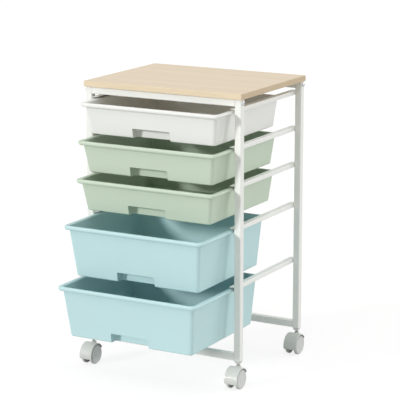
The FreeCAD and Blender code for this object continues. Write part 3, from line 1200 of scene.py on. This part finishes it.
@dataclass
class FrameBolts:
    """Button head bolts with a hexagon socket, at the ends of the upper cross rails."""

    node: str = "frame_bolts"
    head_radius: float = 0.0055
    head_height: float = 0.0032
    head_flat: float = 0.00096
    crown_radius: float = 0.0026
    dome_steps: int = 5
    shank_radius: float = 0.003
    socket_radius: float = 0.0021
    socket_depth: float = 0.0018
    socket_sides: int = 6
    steps: int = 36
    softness: float = 0.0002

    def build(self, shop: Workshop) -> None:
        """Builds one bolt at each post's outer face.

        Args:
            shop: Takes the finished piece.
        """
        sketch = Sketch()
        for end in End:
            for side in Side:
                low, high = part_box(post_name(end, side))
                seat = middle(post_name(end, side))
                seat.x = high.x if side is Side.RIGHT else low.x
                seat.z = middle(f"{end.word}_top_rail").z
                self.add_bolt(sketch, seat, side.out, high.x - low.x)
        shop.deliver(sketch, "frame_bolt_heads", (BOLT_STEEL,), self.node, self.softness)

    def add_bolt(self, sketch: Sketch, seat: Vector, out: Vector, reach: float) -> None:
        """Adds a bolt whose head sits on a face.

        Args:
            sketch: The mesh to add it to.
            seat: The middle of the head's seat.
            out: The direction in which the head stands.
            reach: How far the shank goes in.
        """
        outline = [
            (-reach, 0.0), (-reach, self.shank_radius), (0.0, self.shank_radius),
            (0.0, self.head_radius),
        ]
        rise, crown = self.head_height - self.head_flat, self.head_radius - self.crown_radius
        for step in range(self.dome_steps + 1):
            angle = math.pi / 2 * step / self.dome_steps
            along = self.head_flat + rise * math.sin(angle)
            outline.append((along, self.crown_radius + crown * math.cos(angle)))
        before = set(sketch.bm.edges)
        sketch.turn(seat, out, outline, self.steps)
        rim = sketch.edges(lambda edge: edge.is_boundary and edge not in before)
        self.add_socket(sketch, seat + out * self.head_height, out, rim)

    def add_socket(self, sketch: Sketch, top: Vector, out: Vector, rim: Sequence[Edge]) -> None:
        """Closes a bolt's open crown with a hexagon socket.

        Args:
            sketch: The mesh that holds the bolt.
            top: The middle of the crown.
            out: The direction in which the head stands.
            rim: The crown's open edge.
        """
        facing = Axis.Z.direction.rotation_difference(out).to_matrix().to_4x4()
        mouth = bmesh.ops.create_circle(
            sketch.bm, cap_ends=False, segments=self.socket_sides, radius=self.socket_radius,
            matrix=Matrix.Translation(top) @ facing,
        )["verts"]
        mouth_edges = list(dict.fromkeys(edge for vert in mouth for edge in vert.link_edges))
        bmesh.ops.bridge_loops(sketch.bm, edges=[*rim, *mouth_edges])
        made = bmesh.ops.extrude_edge_only(sketch.bm, edges=mouth_edges)["geom"]
        bmesh.ops.translate(sketch.bm, vec=-out * self.socket_depth, verts=only(Vert, made))
        floor = [edge for edge in only(Edge, made) if edge.is_boundary]
        bmesh.ops.contextual_create(sketch.bm, geom=floor)


@dataclass(frozen=True)
class HoodForm:
    """Where a caster's hood lies. Its angles count about the axle, from level and forwards."""

    axle: Vector
    half: float
    inner: float
    outer: float
    skirt: float
    tail: float

    @property
    def sweep(self) -> float:
        """The angle from the hood's foot to its tail."""
        return self.tail - self.skirt

    def place(self, x: float, radius: float, angle: float) -> Vector:
        """The point at a distance along the axle, a radius and an angle."""
        out = Vector((0.0, -math.cos(angle), math.sin(angle)))
        return self.axle + Axis.X.direction * x + out * radius


@dataclass
class Caster:
    """A twin wheel swivel caster with its plug in the post's end."""

    end: End
    side: Side
    hood_finishes: Tuple[Finish, ...] = (CASTER_PLASTIC, GAP_SHADE_PLASTIC)
    collar_end_width: float = 0.011
    collar_corner: float = 0.0022
    collar_rise: float = 0.001
    stem_radius: float = 0.0040
    stem_chamfer: float = 0.0005
    stem_steps: int = 32
    neck_radius: float = 0.0032
    hood_wall: float = 0.0019
    hood_proud: float = 0.0025
    hood_edge_radius: float = 0.0015
    hood_edge_steps: int = 5
    hood_steps: int = 36
    skirt_height: float = 0.0165
    bead_radius: float = 0.0017
    bead_corner_steps: int = 4
    bead_steps: int = 20
    tail_angle: float = 30.0
    # The ribs in the gaps over the wheels, dark grey as painted shade of those gaps.
    guard_inset: float = 0.0013
    guard_sheet: float = 0.0008
    guard_radius: float = 0.0214
    collar_radius: float = 0.006
    collar_chamfer: float = 0.0005
    collar_steps: int = 40
    hood_collar_drop: float = 0.0008
    web_width: float = 0.0094
    web_core_radius: float = 0.020
    web_foot: float = 0.013
    axle_radius: float = 0.00305
    axle_chamfer_share: float = 1 / 6
    wheel_steps: int = 72
    wheel_inset: float = 0.0008
    wheel_tread: float = 0.003
    wheel_disc: float = 0.0026
    tread_start: float = 0.0035
    tyre_end: float = 0.0091
    tyre_edge: float = 0.0014
    rim_radius: float = 0.0210
    rim_edge: float = 0.0007
    hub_radius: float = 0.0054
    cap_radius: float = 0.008
    cap_rise: float = 0.0006
    dish: float = 0.0012
    groove: float = 0.0005
    groove_softness: float = 0.000125
    edge_softness_share: float = 1 / 6
    chamfer_softness_share: float = 1 / 3

    @property
    def prefix(self) -> str:
        """What the caster's node names start with."""
        return f"{self.end.word}_{self.side.word}_caster"

    def build(self, shop: Workshop) -> None:
        """Builds the plug, stem, hood, axle and wheels.

        Args:
            shop: Takes the finished pieces.
        """
        self.build_plug(shop)
        self.build_stem(shop)
        self.build_hood(shop)
        self.build_axle(shop)
        for wheel in Side:
            self.build_wheel(shop, wheel)

    def build_plug(self, shop: Workshop) -> None:
        """Builds the tapered collar under the post and the sleeve inside it.

        Args:
            shop: Takes the finished piece.
        """
        node = f"{self.prefix}_socket"
        low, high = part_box(node)
        centre, half = middle(node), self.collar_end_width / 2
        post_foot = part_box(post_name(self.end, self.side))[0].z
        wide = Rect(low.x, low.y, high.x, high.y, SquareTube.corner_radius)
        narrow = Rect(
            centre.x - half, centre.y - half, centre.x + half, centre.y + half, self.collar_corner,
        )
        sketch = Sketch()
        loop = sketch.plate(narrow, low.z + self.collar_rise, SquareTube.corner_steps)
        top = sketch.carry(loop, narrow, wide, post_foot)
        bmesh.ops.contextual_create(sketch.bm, geom=top)
        wall = SquareTube.wall + MERGE_DISTANCE
        sleeve_low = Vector((low.x + wall, low.y + wall, post_foot))
        sketch.block(sleeve_low, high - Vector((wall, wall, 0.0)))
        softness = self.collar_corner * self.edge_softness_share
        shop.deliver(sketch, f"{self.prefix}_plug", (SOCKET_PLASTIC,), node, softness)

    def build_stem(self, shop: Workshop) -> None:
        """Builds the steel stem, narrower below the plug, where the hood turns on it.

        Args:
            shop: Takes the finished piece.
        """
        node = f"{self.prefix}_stem"
        low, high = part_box(node)
        start = middle(node)
        start.z = 0.0
        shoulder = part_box(f"{self.prefix}_socket")[0].z + self.collar_rise
        radius, neck, chamfer = self.stem_radius, self.neck_radius, self.stem_chamfer
        outline = (
            (low.z, 0.0), (low.z, neck - chamfer), (low.z + chamfer, neck), (shoulder, neck),
            (shoulder + chamfer, radius), (high.z - chamfer, radius), (high.z, radius - chamfer),
            (high.z, 0.0),
        )
        sketch = Sketch()
        sketch.turn(start, Axis.Z.direction, outline, self.stem_steps)
        softness = chamfer * self.chamfer_softness_share
        shop.deliver(sketch, f"{self.prefix}_stem_shaft", (SHAFT_STEEL,), node, softness)

    def build_hood(self, shop: Workshop) -> None:
        """Builds the hood: its shell, a dark rib over each wheel as painted shade, web, and the collar round the
        stem.

        Args:
            shop: Takes the finished piece.
        """
        node = f"{self.prefix}_hood"
        low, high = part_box(node)
        axle = middle(f"{self.prefix}_wheel_left")
        axle.x = middle(node).x
        outer = axle.y - low.y
        hood = HoodForm(
            axle=axle,
            half=(high.x - low.x) / 2 + self.hood_proud,
            inner=outer - self.hood_wall,
            outer=outer,
            skirt=math.asin((self.skirt_height - axle.z) / outer),
            tail=math.pi - math.radians(self.tail_angle),
        )
        sketch = Sketch()
        self.add_shell(sketch, hood)
        for side in Side:
            self.add_guard(sketch, hood, side)
        self.add_bead(sketch, hood)
        self.add_web(sketch, hood)
        self.add_collar(sketch, hood, high.z - self.hood_collar_drop)
        softness = self.hood_wall * self.edge_softness_share
        shop.deliver(sketch, f"{self.prefix}_hood_shell", self.hood_finishes, node, softness)

    def add_shell(self, sketch: Sketch, hood: HoodForm) -> None:
        """Adds the curved shell over both wheels, its outer edges rounded.

        Args:
            sketch: The empty mesh to add it to.
            hood: Where the hood lies.
        """
        corners = ((-hood.half, hood.inner), (hood.half, hood.inner),
                   (hood.half, hood.outer), (-hood.half, hood.outer))
        verts = [sketch.bm.verts.new(hood.place(x, radius, hood.skirt)) for x, radius in corners]
        sketch.bm.faces.new(verts)
        sketch.round(verts[2:], self.hood_edge_radius, self.hood_edge_steps, corners=True)
        self.sweep(sketch, hood, max(sketch.bm.faces, key=lambda face: face.calc_area()))

    def add_guard(self, sketch: Sketch, hood: HoodForm, side: Side) -> None:
        """Adds a dark rib that closes the gap between the shell and a wheel's rim, its dark grey a painted shade
        of that gap.

        Args:
            sketch: The mesh to add it to.
            hood: Where the hood lies.
            side: The wheel's side.
        """
        before = set(sketch.bm.faces)
        outer_x = side.value * (hood.half - self.guard_inset)
        inner_x = outer_x - side.value * self.guard_sheet
        seat = hood.inner + self.hood_wall / 2
        corners = ((inner_x, self.guard_radius), (outer_x, self.guard_radius),
                   (outer_x, seat), (inner_x, seat))
        verts = [sketch.bm.verts.new(hood.place(x, radius, hood.skirt)) for x, radius in corners]
        self.sweep(sketch, hood, sketch.bm.faces.new(verts))
        # The rib's faces take the dark grey that paints the gap's shade.
        for face in sketch.since(before):
            face.material_index = self.hood_finishes.index(GAP_SHADE_PLASTIC)

    def sweep(self, sketch: Sketch, hood: HoodForm, face: Face) -> None:
        """Sweeps a section from the hood's foot to its tail and closes it there.

        Args:
            sketch: The mesh that holds the section.
            hood: Where the hood lies.
            face: The section, which stays as the near end.
        """
        section = [*face.verts, *face.edges]
        sketch.spin(section, hood.axle, -Axis.X.direction, hood.sweep, self.hood_steps)
        bmesh.ops.contextual_create(sketch.bm, geom=sketch.edges(lambda edge: edge.is_boundary))

    def add_bead(self, sketch: Sketch, hood: HoodForm) -> None:
        """Adds the rolled edge along the foot of the shell.

        Args:
            sketch: The mesh to add it to.
            hood: Where the hood lies.
        """
        span = hood.half - self.hood_edge_radius
        radius, length = self.bead_radius, span * 2
        end = rounded(length, radius, radius / 2, self.bead_corner_steps)
        start = [(length - along, size) for along, size in reversed(end)]
        outline = [(0.0, 0.0), *start, *end, (length, 0.0)]
        place = hood.place(-span, hood.outer - radius, hood.skirt)
        sketch.turn(place, Axis.X.direction, outline, self.bead_steps)

    def add_web(self, sketch: Sketch, hood: HoodForm) -> None:
        """Adds the web that carries the axle between the wheels.

        Args:
            sketch: The mesh to add it to.
            hood: Where the hood lies.
        """
        before = set(sketch.bm.faces)
        side_x = -self.web_width / 2
        centre = hood.place(side_x, 0.0, 0.0)
        reach = hood.inner + self.hood_wall / 2
        sectors = (
            (hood.skirt, hood.sweep, reach),
            (hood.tail, math.tau - hood.sweep, self.web_core_radius),
        )
        for start, angle, radius in sectors:
            ends = (centre, hood.place(side_x, radius, start))
            verts = [sketch.bm.verts.new(end) for end in ends]
            spoke = [*verts, sketch.bm.edges.new(verts)]
            sketch.spin(spoke, centre, -Axis.X.direction, angle, self.hood_steps)
        doubles = only(Vert, with_parts(sketch.since(before)))
        bmesh.ops.remove_doubles(sketch.bm, verts=doubles, dist=MERGE_DISTANCE)
        made = bmesh.ops.extrude_face_region(sketch.bm, geom=sketch.since(before))["geom"]
        across = Axis.X.direction * self.web_width
        bmesh.ops.translate(sketch.bm, vec=across, verts=only(Vert, made))
        cut = bmesh.ops.bisect_plane(
            sketch.bm, geom=with_parts(sketch.since(before)), dist=MERGE_DISTANCE,
            plane_co=Axis.Z.direction * self.web_foot, plane_no=-Axis.Z.direction,
            clear_outer=True,
        )
        bmesh.ops.contextual_create(sketch.bm, geom=only(Edge, cut["geom_cut"]))

    def add_collar(self, sketch: Sketch, hood: HoodForm, top: float) -> None:
        """Adds the collar in which the stem turns.

        Args:
            sketch: The mesh to add it to.
            hood: Where the hood lies.
            top: The height of the collar's top.
        """
        start = middle(f"{self.prefix}_stem")
        start.x, start.z = hood.axle.x, 0.0
        radius, chamfer = self.collar_radius, self.collar_chamfer
        foot = hood.axle.z + math.sqrt(hood.inner ** 2 - (start.y - hood.axle.y + radius) ** 2)
        outline = (
            (foot, 0.0), (foot, radius), (top - chamfer, radius), (top, radius - chamfer),
            (top, 0.0),
        )
        sketch.turn(start, Axis.Z.direction, outline, self.collar_steps)

    def build_axle(self, shop: Workshop) -> None:
        """Builds the axle pin, with chamfered ends inside the wheels' discs.

        Args:
            shop: Takes the finished piece.
        """
        node = f"{self.prefix}_axle"
        low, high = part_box(node)
        start = middle(node)
        start.x = low.x + self.wheel_inset
        radius = (high.z - low.z) / 2
        length = high.x - low.x - self.wheel_inset * 2
        chamfer = radius * self.axle_chamfer_share
        outline = (
            (0.0, 0.0), (0.0, radius - chamfer), (chamfer, radius), (length - chamfer, radius),
            (length, radius - chamfer), (length, 0.0),
        )
        sketch = Sketch()
        sketch.turn(start, Axis.X.direction, outline, self.stem_steps)
        softness = chamfer * self.chamfer_softness_share
        shop.deliver(sketch, f"{node}_pin", (SHAFT_STEEL,), node, softness)

    def build_wheel(self, shop: Workshop, wheel: Side) -> None:
        """Builds one wheel: tread, dished disc with a raised cap, and a hub, open inwards.

        Args:
            shop: Takes the finished piece.
            wheel: The wheel's side of the caster.
        """
        node = f"{self.prefix}_wheel_{wheel.word}"
        low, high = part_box(node)
        start = middle(node)
        start.x = low.x if wheel is Side.RIGHT else high.x
        radius = (high.z - low.z) / 2
        width = high.x - low.x - self.wheel_inset
        inner, disc, face = radius - self.wheel_tread, width - self.wheel_disc, width - self.dish
        tread, groove = self.tread_start, self.groove
        seam = self.rim_radius - self.rim_edge - groove
        outline = [
            (disc, 0.0), (disc, self.axle_radius), (0.0, self.axle_radius), (0.0, self.hub_radius),
            (disc, self.hub_radius), (disc, inner), (tread, inner), (tread, radius - groove),
            (tread + groove, radius), *rounded(self.tyre_end, radius, self.tyre_edge),
            (self.tyre_end, self.rim_radius), *rounded(width, self.rim_radius, self.rim_edge),
            (width, seam), (width - groove, seam - groove), (width - groove, seam - groove * 2),
            (width - groove / 2, seam - groove * 3),
            (face, self.cap_radius + self.dish), (face, self.cap_radius),
            (face + self.cap_rise, self.cap_radius - self.cap_rise), (face + self.cap_rise, 0.0),
        ]
        sketch = Sketch()
        sketch.turn(start, wheel.out, outline, self.wheel_steps)
        shop.deliver(sketch, f"{node}_rim", (WHEEL_PLASTIC,), node, self.groove_softness)


@dataclass
class PlainHardware:
    """Hidden hardware that keeps its own shape and takes a finish."""

    finishes: Tuple[Tuple[str, Finish], ...] = (
        ("panel_screws", BOLT_STEEL),
        ("rail_inserts", INSERT_PLASTIC),
    )

    def dress(self) -> None:
        """Gives each node its finish."""
        for node, finish in self.finishes:
            for slot in frame["nodes"][node].material_slots:
                slot.material = finish.material()
            log.info("%s: keeps its shape, in %s", node, finish.name)


@dataclass(frozen=True)
class Bearing:
    """A direction from the cart, in degrees from its front towards its right and above level."""

    azimuth: float
    elevation: float

    def look_back(
        self, name: str, data: bpy.types.ID, distance: float, target: Place,
    ) -> bpy.types.Object:
        """Adds a lamp or a camera that looks at a place from this direction.

        Args:
            name: The object's name.
            data: The lamp's or the camera's settings.
            distance: How far from the place it stands.
            target: The place.

        Returns:
            The object, linked to the scene.
        """
        around, up = math.radians(self.azimuth), math.radians(self.elevation)
        level = math.cos(up)
        back = Vector((math.sin(around) * level, -math.cos(around) * level, math.sin(up)))
        made = bpy.data.objects.new(name, data)
        made.location = Vector(target) + back * distance
        made.rotation_mode = "QUATERNION"
        made.rotation_quaternion = (-back).to_track_quat("-Z", "Y")
        bpy.context.scene.collection.objects.link(made)
        return made


@dataclass(frozen=True)
class StudioLight:
    """One far, soft lamp. A level of 1 shows a surface that faces it at its own colour."""

    name: str
    bearing: Bearing
    spread: float
    level: float
    distance: float = 5.0

    def build(self) -> None:
        """Adds the lamp."""
        data = bpy.data.lights.new(self.name, "SUN")
        data.energy = self.level * math.pi
        data.angle = math.radians(self.spread)
        self.bearing.look_back(self.name, data, self.distance, (0.0, 0.0, 0.0))
        log.info("%s: level %.2f", self.name, self.level)


@dataclass
class Studio:
    """The plain floor, the pale surroundings, the lamps and the camera."""

    lamps: Tuple[StudioLight, ...] = (
        StudioLight("key_light", Bearing(-27.0, 17.0), spread=8.0, level=0.49),
        StudioLight("top_light", Bearing(20.0, 60.0), spread=40.0, level=0.18),
        StudioLight("side_light", Bearing(101.0, 16.0), spread=5.0, level=0.16),
        StudioLight("back_light", Bearing(138.0, 18.0), spread=35.0, level=0.22),
    )
    floor_half: float = 30.0
    world_light: float = 0.48
    world_seen: float = 1.0
    view: Bearing = Bearing(29.07, 12.60)
    view_distance: float = 4.039
    view_target: Tuple[float, float, float] = (0.0410, 0.0264, 0.3956)
    view_limit: float = 100.0
    focal_pixels: float = 1767.16
    sensor_width: float = 36.0

    def build(self) -> None:
        """Builds the whole studio."""
        bpy.context.scene.view_settings.view_transform = "Standard"
        self.build_floor()
        self.build_world()
        for lamp in self.lamps:
            lamp.build()
        self.build_camera()

    def build_floor(self) -> None:
        """Adds the floor."""
        sketch = Sketch()
        bmesh.ops.create_grid(sketch.bm, x_segments=1, y_segments=1, size=self.floor_half)
        sketch.piece("studio_floor", (FLOOR_WHITE,))

    def build_world(self) -> None:
        """Makes surroundings that look white and light the cart evenly."""
        world = bpy.data.worlds.new("studio")
        bpy.context.scene.world = world
        graph = Graph(world)
        lit, shown = [
            graph.node("ShaderNodeBackground", inputs={"Color": WHITE, "Strength": strength})
            for strength in (self.world_light, self.world_seen)
        ]
        graph.end(graph.choose(lit, shown), "ShaderNodeOutputWorld")

    def build_camera(self) -> None:
        """Sets the camera where the photograph was taken from."""
        data = bpy.data.cameras.new("camera")
        data.sensor_width = self.sensor_width
        data.lens = self.focal_pixels * self.sensor_width / IMAGE_PIXELS
        data.clip_end = self.view_limit
        camera = self.view.look_back("camera", data, self.view_distance, self.view_target)
        bpy.context.scene.camera = camera


def main() -> None:
    """Builds the cart's sub-assemblies in order, then the studio."""
    logging.basicConfig(level=logging.INFO, format="%(name)s: %(message)s")
    shop = Workshop(frame["record"])
    TopPanel().build(shop)
    for end in End:
        SquareTube(f"{end.word}_top_rail", Axis.X).build(shop)
        SquareTube(f"{end.word}_bottom_rail", Axis.X, WeldBead()).build(shop)
        for side in Side:
            SquareTube(post_name(end, side), Axis.Z).build(shop)
    FrameBolts().build(shop)
    drawers = (
        (SHALLOW, DRAWER_WHITE), (SHALLOW, DRAWER_GREEN), (SHALLOW, DRAWER_GREEN),
        (DEEP, DRAWER_BLUE), (DEEP, DRAWER_BLUE),
    )
    for number, (form, finish) in enumerate(drawers, start=1):
        Drawer(number, form, finish).build(shop)
        for side in Side:
            Runner(side, number).build(shop)
    for end in End:
        for side in Side:
            Caster(end, side).build(shop)
    PlainHardware().dress()
    Studio().build()


if __name__ == "__main__":
    main()
